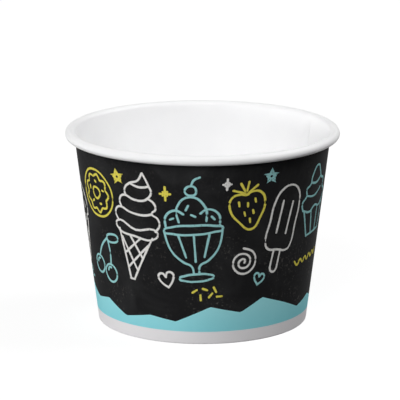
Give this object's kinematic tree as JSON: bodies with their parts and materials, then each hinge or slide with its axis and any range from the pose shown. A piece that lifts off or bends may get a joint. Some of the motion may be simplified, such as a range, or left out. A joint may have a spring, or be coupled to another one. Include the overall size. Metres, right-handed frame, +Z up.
{
  "type": "paper dessert cup",
  "caption": "Open tapered paper cup for ice cream or dessert, with a rolled rim, a lapped side seam and a recessed floor crimped into the foot.",
  "frame": {"origin": "on the table, at the cup's axis", "axes": "+Z up along the cup's axis, towards the rim; the printed front faces -Y"},
  "size_m": [0.095, 0.095, 0.0674],
  "materials": {
    "printed_board": "white coated paperboard, satin; the outside is printed",
    "floor_board": "white coated paperboard, satin"
  },
  "bodies": {
    "root": {"side_wall": "printed_board", "bottom_disc": "floor_board"}
  },
  "joints": []
}
